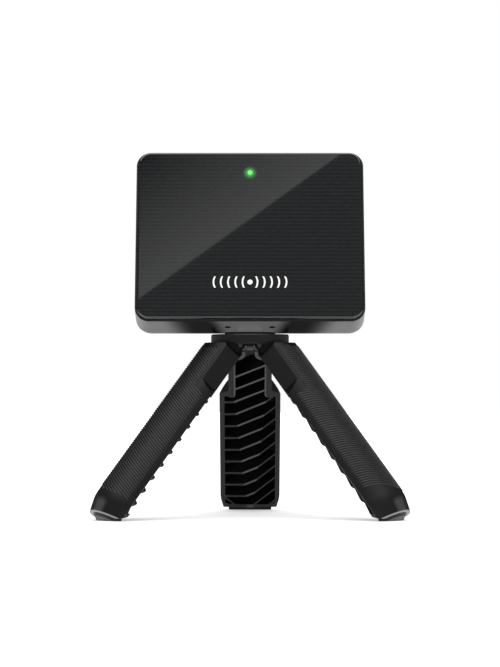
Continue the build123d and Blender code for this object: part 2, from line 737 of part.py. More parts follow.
# A leg is drawn upright with its hinge at the origin: +X points out of the bundle, Y across the leg, and
# the leg hangs down -Z. Folded, the three legs are thirds of one rounded bar.
SECTOR_SHIFT = FOLD_GAP - HINGE_RADIUS
ARC_OFFSET = 2.4
ARC_CENTRE = ARC_OFFSET + SECTOR_SHIFT
ARC_RADIUS = 12.99
LEG_HALF = 12.14
SKIN = 2.0
CORNER_X = LEG_HALF / tan(pi / len(AZIMUTHS)) + SECTOR_SHIFT
NECK_HALF = 8.6
NECK_TOP = 5.2
NECK_BOTTOM = 22.6
BODY_TOP = 25.8
CAVITY_HALF = 10.2
CAVITY_NECK = 5.8
CAVITY_TOP = 6.1
CAVITY_FLOOR = 82.8
EAR_HALF = 3.15
EAR_SLOT = 1.85
EAR_RADIUS = 1.95
NOSE_TOP = 3.7 + SECTOR_SHIFT
NOSE_BOTTOM = 0.7 + SECTOR_SHIFT
TOE_START = 81.0
TOE_ANGLE = 17.5
TOE_ROUND = 2.0
TOE_MARGIN = 8.0
END_LEVEL = 1.1
FLOOR_LEVEL = 2.4
END_BASE = 86.0
END_SLOPE = 0.19
LEG_TOP = 5.0
LEG_REACH = 94.0
SHOULDER_OUT = 0.5
SHOULDER_DROP = 0.45
RIB_START = 11.84
RIB_PITCH = 6.22
RIB_COUNT = 13
RIB_SLOPE = 0.5
RIB_WIDTH = 0.95
RIB_ROOT = 0.9
GUSSET_OUT = 10.9
GUSSET_IN = 4.4
GUSSET_TOP = 79.1
GUSSET_DROP = 3.0
GUSSET_WIDTH = 1.0
PEG_RADIUS = 1.5
PEG_X = 4.6
PEG_TOP = 84.0
PEG_GAP = 0.3
PEG_LENGTH = 3.2
PEG_HOLE_DEPTH = 8.0
PIN_RADIUS = 0.95

TINY = 0.01
CUT = 1.0
MARGIN = 3.0
SPARE = 20.0

leg_sin = sin(radians(LEG_TILT))
leg_cos = cos(radians(LEG_TILT))
outer_x = ARC_CENTRE + ARC_RADIUS


def level_down(height, x):
    """How far down the leg a level plane at this height above the floor lies, at x, with the leg spread."""
    return (HINGE_Z - height) / leg_cos + x * leg_sin / leg_cos


def toe_x(down):
    """Where the toe's cone meets the leg's middle plane, this far down the leg."""
    return outer_x - (down - TOE_START) * tan(radians(TOE_ANGLE))


end_knee = (END_BASE - level_down(END_LEVEL, 0)) / (leg_sin / leg_cos - END_SLOPE)
floor_knee = (CAVITY_FLOOR - level_down(FLOOR_LEVEL, 0)) / (leg_sin / leg_cos)
stop_level = LEG_STOP_Z - STOP_GAP
crest = (HINGE_Z - stop_level) / leg_cos
crest_x = -crest / (leg_sin / leg_cos)


def half_outline(points, rounds):
    """A closed, symmetric outline across the leg from its right-hand points, with some corners rounded."""
    with BuildSketch(Plane.YZ) as outline:
        with BuildLine():
            Polyline(*points, *[(-y, z) for y, z in reversed(points)], close=True)
        make_face()
        for y, z, radius in rounds:
            corners = [v for v in outline.vertices() if abs(abs(v.X) - y) < TINY and abs(v.Y - z) < TINY]
            fillet(corners, radius)
    return outline.sketch


with BuildPart() as leg_form:
    with BuildSketch(Plane.XY.offset(LEG_TOP)):
        with BuildLine():
            Line((SECTOR_SHIFT, 0), (CORNER_X, -LEG_HALF))
            ThreePointArc((CORNER_X, -LEG_HALF), (outer_x, 0), (CORNER_X, LEG_HALF))
            Line((CORNER_X, LEG_HALF), (SECTOR_SHIFT, 0))
        make_face()
    extrude(amount=-LEG_REACH)
    extrude(
        half_outline(
            [
                (EAR_HALF, LEG_TOP),
                (EAR_HALF, -NECK_TOP),
                (NECK_HALF, -NECK_TOP),
                (NECK_HALF, -NECK_BOTTOM),
                (LEG_HALF + SHOULDER_OUT, -BODY_TOP - SHOULDER_DROP),
                (LEG_HALF + SHOULDER_OUT, -LEG_REACH),
            ],
            [(EAR_HALF, -NECK_TOP, 2.2), (NECK_HALF, -NECK_TOP, 1.2)],
        ),
        amount=SPARE,
        both=True,
        mode=Mode.INTERSECT,
    )
    with BuildSketch(Plane.XZ):
        with BuildLine():
            Polyline(
                (NOSE_TOP, -BODY_TOP),
                (NOSE_TOP, -2),
                (0, 0),
                (crest_x, 0),
                (outer_x + MARGIN, -level_down(stop_level, outer_x + MARGIN)),
                (outer_x + MARGIN, -END_BASE - END_SLOPE * (outer_x + MARGIN)),
                (end_knee, -END_BASE - END_SLOPE * end_knee),
                (NOSE_BOTTOM, -level_down(END_LEVEL, NOSE_BOTTOM)),
                close=True,
            )
        make_face()
    extrude(amount=SPARE, both=True, mode=Mode.INTERSECT)
    # The toe narrows as a cone round the leg's own arc.
    with BuildSketch(Plane.XZ):
        with BuildLine():
            Polyline(
                (outer_x + TOE_MARGIN, -TOE_START + TOE_ROUND),
                (outer_x + TOE_MARGIN, -LEG_REACH),
                (toe_x(LEG_REACH), -LEG_REACH),
                (toe_x(TOE_START + TOE_ROUND), -TOE_START - TOE_ROUND),
            )
            ThreePointArc(
                (toe_x(TOE_START + TOE_ROUND), -TOE_START - TOE_ROUND),
                (outer_x - TOE_ROUND * tan(radians(TOE_ANGLE)) / 4, -TOE_START),
                (outer_x, -TOE_START + TOE_ROUND),
            )
            Line((outer_x, -TOE_START + TOE_ROUND), (outer_x + TOE_MARGIN, -TOE_START + TOE_ROUND))
        make_face()
    revolve(axis=Axis((ARC_CENTRE, 0, 0), (0, 0, 1)), mode=Mode.SUBTRACT)

with BuildPart() as leg_cavity:
    with BuildSketch(Plane.XY.offset(LEG_TOP + CUT)):
        with Locations((ARC_CENTRE, 0)):
            Circle(ARC_RADIUS - SKIN)
        with Locations((ARC_CENTRE - SPARE / 2, 0)):
            Rectangle(SPARE, 2 * (ARC_RADIUS - SKIN))
    extrude(amount=-LEG_REACH)
    extrude(
        half_outline(
            [
                (EAR_SLOT, LEG_TOP + 2 * CUT),
                (EAR_SLOT, -CAVITY_TOP),
                (CAVITY_NECK, -CAVITY_TOP),
                (CAVITY_NECK, -BODY_TOP),
                (CAVITY_HALF, -BODY_TOP),
                (CAVITY_HALF, -LEG_REACH),
            ],
            [(EAR_SLOT, -CAVITY_TOP, 2.8), (CAVITY_NECK, -BODY_TOP, 2.4), (CAVITY_HALF, -BODY_TOP, 1.2)],
        ),
        amount=SPARE,
        both=True,
        mode=Mode.INTERSECT,
    )
    with BuildSketch(Plane.XZ):
        with BuildLine():
            Polyline(
                (-SPARE, SPARE),
                (SPARE, SPARE),
                (SPARE, -CAVITY_FLOOR),
                (floor_knee, -CAVITY_FLOOR),
                (-SPARE, -level_down(FLOOR_LEVEL, -SPARE)),
                close=True,
            )
        make_face()
    extrude(amount=SPARE, both=True, mode=Mode.INTERSECT)

with BuildPart() as leg_ribs:
    for index in range(RIB_COUNT):
        rib_middle = RIB_START + RIB_PITCH * index
        in_neck = rib_middle + RIB_SLOPE * CAVITY_NECK < BODY_TOP - SKIN
        reach = (CAVITY_NECK if in_neck else CAVITY_HALF) + RIB_ROOT
        drop = RIB_SLOPE * reach
        half = RIB_WIDTH / 2
        with BuildSketch(Plane.YZ):
            with BuildLine():
                Polyline(
                    (-reach, -rib_middle + drop + half),
                    (reach, -rib_middle - drop + half),
                    (reach, -rib_middle - drop - half),
                    (-reach, -rib_middle + drop - half),
                    close=True,
                )
            make_face()
    # Corner gusset beside the last rib.
    with BuildSketch(Plane.YZ):
        with BuildLine():
            Polyline(
                (GUSSET_OUT, -GUSSET_TOP),
                (GUSSET_IN, -GUSSET_TOP - GUSSET_DROP),
                (GUSSET_IN, -GUSSET_TOP - GUSSET_DROP - GUSSET_WIDTH),
                (GUSSET_OUT, -GUSSET_TOP - GUSSET_WIDTH),
                close=True,
            )
        make_face()
    extrude(amount=SPARE, both=True)
    add(leg_form.part, mode=Mode.INTERSECT)

with BuildPart() as leg_blank:
    add(leg_form.part)
    add(leg_cavity.part, mode=Mode.SUBTRACT)
    add(leg_ribs.part)
    for side in (-1, 1):
        ear_middle = side * (EAR_HALF + EAR_SLOT) / 2
        with Locations((0, ear_middle, 0)):
            Cylinder(EAR_RADIUS, EAR_HALF - EAR_SLOT, rotation=(90, 0, 0))
    Cylinder(PIN_RADIUS + RUNNING_GAP, 4 * EAR_HALF, rotation=(90, 0, 0), mode=Mode.SUBTRACT)
    with Locations((PEG_X, 0, -PEG_TOP)):
        Cylinder(PEG_RADIUS, PEG_HOLE_DEPTH, align=(Align.CENTER, Align.CENTER, Align.MAX), mode=Mode.SUBTRACT)


def hinge_at(azimuth):
    """The hinge's place on the hub, +X pointing outwards."""
    return Location((0, AXIS_Y, 0), (0, 0, azimuth)) * Location((HINGE_RADIUS, 0, HINGE_Z))


def spread(azimuth):
    """Turns an upright leg out to its spread position."""
    return hinge_at(azimuth) * Location((0, 0, 0), (0, -LEG_TILT, 0))


SOLE_INNER = 60.0
SOLE_CENTRE = 55.0
SOLE_RADIUS = 10.4
SOLE_HALF = 8.8
SOLE_CORNER = 1.0
SOLE_FLARE = 22
SOLE_HEIGHT = 4.2
SOLE_EDGE = 0.4
SOLE_REACH = 15.0
SOLE_RISE = 4.0

# The foot pad is drawn where it stands under a leg spread along +X from the axis: its toe is round in
# plan and flares upwards, and its top takes the shape of the leg's end.
with BuildPart() as pad_blank:
    with BuildSketch(Plane.XY):
        with Locations((SOLE_CENTRE, 0)):
            Circle(SOLE_RADIUS)
    extrude(amount=SOLE_HEIGHT, taper=-SOLE_FLARE)
    with BuildSketch(Plane.XY):
        with Locations((SOLE_INNER, 0)):
            RectangleRounded(4 * SOLE_HALF, 2 * SOLE_HALF, SOLE_CORNER, align=(Align.MIN, Align.CENTER))
    extrude(amount=SOLE_HEIGHT, mode=Mode.INTERSECT)
    with BuildSketch(Plane.XZ):
        with BuildLine():
            Polyline(
                (SOLE_INNER - 1, 0),
                (SOLE_INNER + SOLE_REACH, 0),
                (SOLE_INNER + SOLE_REACH, SOLE_HEIGHT),
                (SOLE_INNER + SOLE_RISE, SOLE_HEIGHT),
                (SOLE_INNER - 1, END_LEVEL + 0.5),
                close=True,
            )
        make_face()
    extrude(amount=2 * SOLE_HALF, both=True, mode=Mode.INTERSECT)
    sole_edges = pad_blank.faces().sort_by(Axis.Z)[0].edges()
    fillet(sole_edges, SOLE_EDGE)
    with Locations(Location((0, -AXIS_Y, 0)) * spread(0)):
        add(leg_form.part, mode=Mode.SUBTRACT)
        with Locations((PEG_X, 0, -PEG_TOP - PEG_GAP)):
            Cylinder(PEG_RADIUS, PEG_LENGTH, align=(Align.CENTER, Align.CENTER, Align.MAX))

for name, azimuth in AZIMUTHS.items():
    with BuildPart() as leg:
        with Locations(spread(azimuth)):
            add(leg_blank.part)
    export(leg.part, "leg_" + name)
    with BuildPart() as foot_pad:
        with Locations(Location((0, AXIS_Y, 0), (0, 0, azimuth))):
            add(pad_blank.part)
    export(foot_pad.part, "foot_pad_" + name)
    with BuildPart() as hinge_pin:
        with Locations(hinge_at(azimuth)):
            Cylinder(PIN_RADIUS, 2 * EAR_HALF, rotation=(90, 0, 0))
    export(hinge_pin.part, "hinge_pin_" + name)

# ---------------------------------------------------------------- tripod hub

LUG_HALF = 1.4
LUG_RADIUS = 1.95
EAR_POCKET = 2.3
NOTCH_HALF = 9.0
HUB_CHAMFER = 0.4
STUD_FLANGE_RADIUS = 5.0
STUD_FLANGE_LOW = 68.9
STUD_FLANGE_HIGH = 69.9
STUD_LOW = 67.6
STUD_CHAMFER = 0.5
NOTCH_INNER = 2.4
NOTCH_LENGTH = 20.0
NOTCH_DEEP = 4.0

with BuildPart() as tripod_hub:
    with BuildSketch(Plane.XY.offset(HUB_BOTTOM)):
        with Locations((0, AXIS_Y)):
            Circle(HUB_RADIUS)
    extrude(amount=HUB_TOP - HUB_BOTTOM)
    rim_edges = tripod_hub.edges().filter_by(GeomType.CIRCLE).sort_by(Axis.Z)
    chamfer([rim_edges[0], rim_edges[-1]], HUB_CHAMFER)
    for azimuth in AZIMUTHS.values():
        with Locations(hinge_at(azimuth)):
            # A shallow notch stops the leg's shoulder, and a deeper pocket clears its two ears.
            with Locations((-NOTCH_INNER, 0, LEG_STOP_Z - HINGE_Z)):
                Box(
                    NOTCH_LENGTH,
                    2 * NOTCH_HALF,
                    NOTCH_DEEP,
                    align=(Align.MIN, Align.CENTER, Align.MAX),
                    mode=Mode.SUBTRACT,
                )
            Cylinder(EAR_POCKET, 2 * EAR_HALF + 2 * MOVING_GAP, rotation=(90, 0, 0), mode=Mode.SUBTRACT)
            Cylinder(LUG_RADIUS, 2 * LUG_HALF, rotation=(90, 0, 0))
            Box(
                2 * LUG_RADIUS,
                2 * LUG_HALF,
                HUB_TOP - 1 - HINGE_Z,
                align=(Align.CENTER, Align.CENTER, Align.MIN),
            )
            Cylinder(PIN_RADIUS, 4 * EAR_HALF, rotation=(90, 0, 0), mode=Mode.SUBTRACT)
    with BuildSketch(Plane.XY.offset(STUD_LOW)):
        with Locations((0, AXIS_Y)):
            Circle(STUD_RADIUS)
    extrude(amount=10, mode=Mode.SUBTRACT)
    with BuildSketch(Plane.XY.offset(STUD_FLANGE_LOW)):
        with Locations((0, AXIS_Y)):
            Circle(STUD_FLANGE_RADIUS)
    extrude(amount=STUD_FLANGE_HIGH - STUD_FLANGE_LOW, mode=Mode.SUBTRACT)
export(tripod_hub.part, "tripod_hub")

with BuildPart() as mount_stud:
    with BuildSketch(Plane.XY.offset(STUD_LOW)):
        with Locations((0, AXIS_Y)):
            Circle(STUD_RADIUS)
    extrude(amount=STUD_TOP - STUD_LOW)
    chamfer(mount_stud.edges().filter_by(GeomType.CIRCLE).sort_by(Axis.Z)[-1], STUD_CHAMFER)
    with BuildSketch(Plane.XY.offset(STUD_FLANGE_LOW)):
        with Locations((0, AXIS_Y)):
            Circle(STUD_FLANGE_RADIUS)
    extrude(amount=STUD_FLANGE_HIGH - STUD_FLANGE_LOW)
export(mount_stud.part, "mount_stud")

with BuildPart() as platform_pad:
    with BuildSketch(Plane.XY.offset(HUB_TOP)):
        with Locations((0, AXIS_Y)):
            Circle(PAD_RADIUS)
            Circle(STUD_RADIUS + MOVING_GAP, mode=Mode.SUBTRACT)
    extrude(amount=PAD_TOP - HUB_TOP)
export(platform_pad.part, "platform_pad")
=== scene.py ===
import json
from math import cos, pi, radians, sin, tan

import bmesh
import bpy
from mathutils import Matrix, Vector


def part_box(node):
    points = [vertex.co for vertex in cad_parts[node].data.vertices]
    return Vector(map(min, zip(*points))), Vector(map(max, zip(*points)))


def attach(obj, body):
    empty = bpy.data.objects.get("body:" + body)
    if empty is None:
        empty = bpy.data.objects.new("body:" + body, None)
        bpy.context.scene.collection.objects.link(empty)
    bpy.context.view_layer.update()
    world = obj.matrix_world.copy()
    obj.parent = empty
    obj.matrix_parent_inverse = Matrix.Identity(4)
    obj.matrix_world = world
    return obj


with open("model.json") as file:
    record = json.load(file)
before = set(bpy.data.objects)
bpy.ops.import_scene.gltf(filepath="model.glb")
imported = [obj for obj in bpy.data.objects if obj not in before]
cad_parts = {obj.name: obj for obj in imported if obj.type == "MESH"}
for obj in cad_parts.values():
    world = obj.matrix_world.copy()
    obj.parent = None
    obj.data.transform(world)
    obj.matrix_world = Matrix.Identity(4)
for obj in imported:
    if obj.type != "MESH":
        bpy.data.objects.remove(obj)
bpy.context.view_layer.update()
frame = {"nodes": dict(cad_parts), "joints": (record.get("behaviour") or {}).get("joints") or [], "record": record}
nodes = frame["nodes"]

# ---------------------------------------------------------------- the object's own directions, from the record

lens_low, lens_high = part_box("status_lens")
lens_axis = (lens_low + lens_high) / 2
door_axis = next(joint["axis"] for joint in frame["joints"] if joint["name"] == "port_door_hinge")
face_normal = -Vector(door_axis)
face_up = Vector((0, face_normal.z, -face_normal.y))
_, axis_y, seat_z = next(joint["pos_m"] for joint in frame["joints"] if joint["name"] == "head_turn")
leg_joints = [joint for joint in frame["joints"] if joint["child"].startswith("leg_")]

# ---------------------------------------------------------------- node graph helpers


class Graph:
    """A material and short calls that add nodes to it."""

    def __init__(self, name, color, roughness, metallic=0.0, **sockets):
        self.material = bpy.data.materials.new(name)
        self.material.use_nodes = True
        self.tree = self.material.node_tree
        self.shader = self.tree.nodes["Principled BSDF"]
        self.put(self.shader, {"Base Color": color, "Roughness": roughness, "Metallic": metallic})
        self.shade(**sockets)
        self.place = self.add("ShaderNodeTexCoord").outputs["Object"]

    def put(self, node, inputs):
        for key, value in inputs.items():
            socket = node.inputs[key]
            if isinstance(value, bpy.types.NodeSocket):
                self.tree.links.new(value, socket)
            elif isinstance(value, (tuple, list, Vector)) and socket.type == "RGBA":
                socket.default_value = (*value, 1.0)
            else:
                socket.default_value = value

    def shade(self, **sockets):
        """Sets the shader's own inputs, or links nodes to them."""
        self.put(self.shader, {key.replace("_", " "): value for key, value in sockets.items()})

    def add(self, kind, inputs=None, **settings):
        node = self.tree.nodes.new(kind)
        for key, value in settings.items():
            setattr(node, key, value)
        self.put(node, inputs or {})
        return node

    def math(self, operation, a, b=0.0, clamp=False):
        return self.add("ShaderNodeMath", {0: a, 1: b}, operation=operation, use_clamp=clamp).outputs[0]

    def plus(self, a, b):
        return self.math("ADD", a, b)

    def times(self, a, b):
        return self.math("MULTIPLY", a, b)

    def wave(self, length, pitch):
        """A sine wave of this pitch over a length."""
        return self.math("SINE", self.times(length, 2 * pi / pitch))

    def vector(self, operation, a, b=(0, 0, 0)):
        return self.add("ShaderNodeVectorMath", {0: a, 1: b}, operation=operation).outputs[0]

    def dot(self, a, b):
        return self.add("ShaderNodeVectorMath", {0: a, 1: b}, operation="DOT_PRODUCT").outputs["Value"]

    def along(self, direction, origin=(0, 0, 0)):
        """How far the point lies along a direction from an origin, in metres."""
        return self.dot(self.vector("SUBTRACT", self.place, origin), direction)

    def normal(self):
        return self.add("ShaderNodeNewGeometry").outputs["Normal"]

    def noise(self, scale, detail=3.0, roughness=0.6, stretch=None):
        place = self.vector("MULTIPLY", self.place, stretch) if stretch else self.place
        inputs = {"Vector": place, "Scale": scale, "Detail": detail, "Roughness": roughness}
        return self.add("ShaderNodeTexNoise", inputs).outputs[0]

    def ramp(self, value, low, high, out_low=0.0, out_high=1.0, smooth=False):
        node = self.add(
            "ShaderNodeMapRange",
            {"Value": value, "From Min": low, "From Max": high, "To Min": out_low, "To Max": out_high},
            interpolation_type="SMOOTHSTEP" if smooth else "LINEAR",
        )
        return node.outputs[0]

    def mix(self, factor, a, b):
        """A colour between a and b."""
        node = self.add("ShaderNodeMix", data_type="RGBA")
        self.put(node, {0: factor, 6: a, 7: b})
        return node.outputs[2]

    def bump(self, height, distance, strength=1.0, normal=None):
        inputs = {"Height": height, "Distance": distance, "Strength": strength}
        if normal is not None:
            inputs["Normal"] = normal
        return self.add("ShaderNodeBump", inputs).outputs[0]


def grey(level, tint=0.0):
    """A grey, or a slightly blue one."""
    return (level, level * (1 + tint * 0.5), level * (1 + tint))


# ---------------------------------------------------------------- moulded plastic, rubber and metal

GRAIN = 2600.0
FINE_GRAIN = 3000.0
GRAIN_DEPTH = 0.00002
PLASTIC_TINT = 0.08
PLASTIC_SPREAD = 0.25
STREAK_STRETCH = 14.0


def moulded(name, level, roughness, grain=GRAIN, **sockets):
    """Moulded plastic: a fine eroded grain, and slow changes of shade and gloss over the part."""
    g = Graph(name, grey(level, PLASTIC_TINT), roughness, **sockets)
    slow = g.noise(45.0, 4.0)
    fine = g.noise(grain, 3.0, 0.65)
    g.shade(
        Base_Color=g.mix(
            g.ramp(g.plus(g.times(slow, 0.6), g.times(fine, 0.4)), 0.35, 0.65),
            grey(level * (1 - PLASTIC_SPREAD), PLASTIC_TINT),
            grey(level * (1 + PLASTIC_SPREAD), PLASTIC_TINT),
        ),
        Roughness=g.ramp(g.plus(slow, g.times(fine, 0.5)), 0.4, 1.1, roughness - 0.05, roughness + 0.06),
        Normal=g.bump(fine, GRAIN_DEPTH, 0.6),
    )
    return g


def rubber_graph(name, level):
    """Soft rubber with a satin bloom; also gives the bloom's colour and the fine grain's normal."""
    g = Graph(name, grey(level), 0.62, Specular_IOR_Level=0.4)
    bloom = g.mix(g.ramp(g.noise(140.0, 4.0), 0.3, 0.7), grey(level * 0.8), grey(level * 1.2))
    fine = g.noise(2800.0, 2.0)
    normal = g.bump(fine, GRAIN_DEPTH, 0.6)
    g.shade(Base_Color=bloom, Roughness=g.ramp(fine, 0.3, 0.7, 0.55, 0.72), Normal=normal)
    return g, bloom, normal


def metal(name, color, roughness, direction=(0, 0, 1), pitch=0.0):
    """Drawn or turned metal: fine streaks along one direction, and rings if a pitch is given."""
    g = Graph(name, color, roughness, 1.0)
    stretch = [1.0 if abs(c) < 0.5 else 1.0 / STREAK_STRETCH for c in direction]
    streak = g.noise(2400.0, 3.0, 0.6, stretch)
    marks = g.plus(streak, g.noise(160.0, 4.0))
    normal = g.bump(streak, 0.00001, 0.5)
    if pitch:
        normal = g.bump(g.wave(g.along(direction), pitch), pitch * 0.25, 1.0, normal)
    g.shade(
        Base_Color=g.mix(g.ramp(marks, 0.7, 1.3), tuple(c * 0.75 for c in color), color),
        Roughness=g.ramp(marks, 0.7, 1.3, roughness + 0.1, roughness - 0.05),
        Normal=normal,
    )
    return g.material


# ---------------------------------------------------------------- materials of the head

LED_GREEN = (0.09, 1.0, 0.16)
STRIPE_PITCH = 0.00155
PALE_FROM, PALE_TO = 0.0075, 0.0145
DARK_FROM, DARK_TO = 0.0330, 0.0200
PATCH_LEAN = 0.22
PAINTED_SHEEN_GLOW = 0.105
DARK_GLOSS = 0.008


def on_the_face(g):
    """Where a point lies on the face, counted right and up from the status light's axis."""
    return g.along((1, 0, 0), lens_axis), g.along(face_up, lens_axis)


def from_light(g):
    """A point's distance from the status light's axis."""
    across, height = on_the_face(g)
    return g.math("SQRT", g.plus(g.times(across, across), g.times(height, height)))


def cover_gloss():
    """Smoked gloss front with fine level stripes under the surface, and the status light's glow in it."""
    g = Graph("cover_gloss", grey(0.009), 0.02, Coat_Roughness=0.01)
    stripe = g.wave(g.along(face_up, lens_axis), STRIPE_PITCH)
    stripes = g.ramp(g.plus(g.times(stripe, 0.35), g.noise(900.0, 2.0)), 0.1, 1.0)
    # The glow falls off quickly round the light, and it is on the outer face only.
    glow = g.math("POWER", g.ramp(from_light(g), 0.0008, 0.0034, 1.0, 0.0), 2.4)
    outer = g.ramp(g.along(face_normal, lens_axis), -0.0004, 0.0002)
    # Painted shade: the reflection is turned down on the rounded edge, except along the bottom, so the edge reads
    # dark.
    normal = g.normal()
    front = g.ramp(g.dot(normal, face_normal), 0.6, 0.95)
    bottom = g.ramp(g.dot(normal, -face_up), 0.3, 0.6)
    gloss = g.math("MAXIMUM", front, bottom)
    g.shade(
        Base_Color=g.mix(stripes, grey(0.004, 0.15), grey(0.011, 0.2)),
        Roughness=g.ramp(g.noise(60.0, 3.0), 0.3, 0.7, 0.01, 0.025),
        Specular_IOR_Level=g.times(gloss, 0.55),
        Coat_Weight=g.times(gloss, 0.35),
        Emission_Color=LED_GREEN,
        Emission_Strength=g.times(g.times(glow, outer), 0.55),
    )
    return g.material


def painted_mount_reflection(g, towards, least):
    """Two masks of painted reflection on the faces that look one way: a pale sheen over the mount, and dark zones
    beside it.
    """
    aligned = g.dot(g.normal(), towards)
    below = g.ramp(aligned, least, least + 0.17)
    side = g.math("ABSOLUTE", g.along((1, 0, 0)))
    lean = g.times(g.along(face_normal, (0, axis_y, seat_z)), PATCH_LEAN)
    place = g.math("SUBTRACT", side, lean)
    painted_sheen = g.ramp(place, PALE_FROM, PALE_TO, 1.0, 0.0, smooth=True)
    inside = g.ramp(place, DARK_FROM, DARK_TO, smooth=True)
    painted_dark_zones = g.math("SUBTRACT", inside, painted_sheen, clamp=True)
    return g.times(painted_sheen, below), g.times(painted_dark_zones, below)


def housing(name, towards=-face_up, least=0.75):
    """The housing's moulding, with a painted reflection on the faces that look one way: a pale sheen over the
    mount between two dark zones.
    """
    g = moulded(name, 0.012, 0.38)
    painted_sheen, painted_dark_zones = painted_mount_reflection(g, towards, least)
    shades = (grey(0.009, PLASTIC_TINT), grey(0.015, PLASTIC_TINT))
    plain = g.mix(g.ramp(g.noise(45.0, 4.0), 0.35, 0.65), *shades)
    # A faint glow paints the pale sheen, and a near-black colour with less gloss paints the dark zones of the
    # reflection.
    g.shade(
        Base_Color=g.mix(painted_dark_zones, plain, grey(0.0008)),
        Emission_Color=grey(1.0),
        Emission_Strength=g.times(painted_sheen, PAINTED_SHEEN_GLOW),
        Specular_IOR_Level=g.times(g.math("POWER", DARK_GLOSS, painted_dark_zones), 0.5),
    )
    return g.material


def lens_green():
    """A light pipe lit from behind: brightest in the middle."""
    g = Graph("lens_green", (0.02, 0.2, 0.03), 0.3, Specular_IOR_Level=0.1)
    centre = g.ramp(from_light(g), 0.0007, 0.0013, 1.0, 0.0, smooth=True)
    g.shade(
        Emission_Color=g.mix(centre, (0.04, 0.55, 0.05), (0.22, 1.0, 0.17)),
        Emission_Strength=g.plus(g.times(centre, 0.45), 0.6),
        Roughness=g.ramp(g.noise(1500.0), 0.3, 0.7, 0.1, 0.2),
    )
    return g.material


def mark_white():
    """Pad-printed ink, slightly uneven."""
    g = Graph("mark_white", grey(0.72), 0.5)
    ink = g.noise(3500.0, 3.0)
    g.shade(
        Base_Color=g.mix(g.ramp(ink, 0.3, 0.7), grey(0.60), grey(0.80)),
        Roughness=g.ramp(ink, 0.3, 0.7, 0.42, 0.6),
        # The faint glow is painted light, keeping the ink bright.
        Emission_Color=grey(1.0),
        Emission_Strength=0.25,
    )
    return g.material


def circuit_board():
    """Green solder mask over copper tracks that run in both directions across the board."""
    g = Graph("board_green", (0.02, 0.13, 0.05), 0.3, Coat_Weight=0.3)
    across, height = on_the_face(g)
    cells = g.add("ShaderNodeCombineXYZ", {"X": across, "Y": height, "Z": 0.0}).outputs[0]
    mortar = {"Mortar Size": 0.06, "Mortar Smooth": 0.1}
    inputs = {"Vector": cells, "Scale": 260.0, "Brick Width": 1.3, "Row Height": 0.45, **mortar}
    track = g.add("ShaderNodeTexBrick", inputs, offset=0.37).outputs["Fac"]
    g.shade(
        Base_Color=g.mix(track, (0.015, 0.105, 0.04), (0.05, 0.24, 0.08)),
        Roughness=g.ramp(g.noise(300.0), 0.3, 0.7, 0.22, 0.36),
        Normal=g.bump(track, 0.00003, 0.8),
    )
    return g.material


def battery_foil():
    """The cell's laminated foil: dull, with shallow creases."""
    g = Graph("battery_foil", (0.42, 0.43, 0.45), 0.32, 1.0)
    cells = {"Vector": g.place, "Scale": 210.0}
    crease = g.add("ShaderNodeTexVoronoi", cells, feature="DISTANCE_TO_EDGE").outputs[0]
    haze = g.noise(90.0, 4.0)
    g.shade(
        Base_Color=g.mix(g.ramp(haze, 0.3, 0.7), (0.34, 0.35, 0.37), (0.5, 0.51, 0.53)),
        Roughness=g.ramp(haze, 0.3, 0.7, 0.25, 0.42),
        Normal=g.bump(g.ramp(crease, 0.0, 0.25), 0.00006, 0.5),
    )
    return g.material


def foam():
    """Closed-cell foam."""
    g = Graph("foam_grey", grey(0.12), 0.9)
    cell = g.add("ShaderNodeTexVoronoi", {"Vector": g.place, "Scale": 2200.0}).outputs["Distance"]
    g.shade(
        Base_Color=g.mix(g.ramp(cell, 0.0, 0.6), grey(0.06), grey(0.17)),
        Normal=g.bump(cell, 0.0002, 0.9),
    )
    return g.material


def membrane():
    """A white vent membrane of fine crossed fibres."""
    g = Graph("membrane_white", grey(0.7), 0.85, Sheen_Weight=0.2)
    warp = g.noise(2500.0, 2.0, 0.5, (1.0, 0.1, 0.1))
    weft = g.noise(2500.0, 2.0, 0.5, (0.1, 1.0, 1.0))
    fibre = g.math("MAXIMUM", warp, weft)
    g.shade(
        Base_Color=g.mix(g.ramp(fibre, 0.4, 0.7), grey(0.55), grey(0.8)),
        Normal=g.bump(fibre, 0.00004, 0.8),
    )
    return g.material


# ---------------------------------------------------------------- materials of the tripod

LEG_TILT = radians(39.3)
LEG_END_BASE = 0.0860
LEG_END_SLOPE = 0.19
TOE_FROM, TOE_TO = 0.0815, 0.0835
HATCH_PITCH = 0.0009
TOE_HIGHLIGHT_GLOW = 0.045
EDGE_HIGHLIGHT_GLOW = 0.30


def leg_place(g):
    """How far a point lies short of the plane that ends its leg, and how far it lies down the leg."""
    span = None
    for joint in leg_joints:
        across = joint["axis"]
        outward = g.along((across[1], -across[0], 0), joint["pos_m"])
        span = outward if span is None else g.math("MAXIMUM", span, outward)
    height = g.along((0, 0, 1), leg_joints[0]["pos_m"])
    x = g.plus(g.times(span, cos(LEG_TILT)), g.times(height, sin(LEG_TILT)))
    down = g.math("SUBTRACT", g.times(span, sin(LEG_TILT)), g.times(height, cos(LEG_TILT)))
    end = g.plus(g.times(x, LEG_END_SLOPE), LEG_END_BASE)
    return g.math("SUBTRACT", end, down), down


def painted_view_shade(g):
    """A mask for painted shade: one where the surface faces the viewer, falling towards nothing where it turns
    away.
    """
    facing = g.add("ShaderNodeLayerWeight", {"Blend": 0.5}).outputs["Facing"]
    return g.ramp(facing, 0.42, 0.85, 1.0, 0.12)


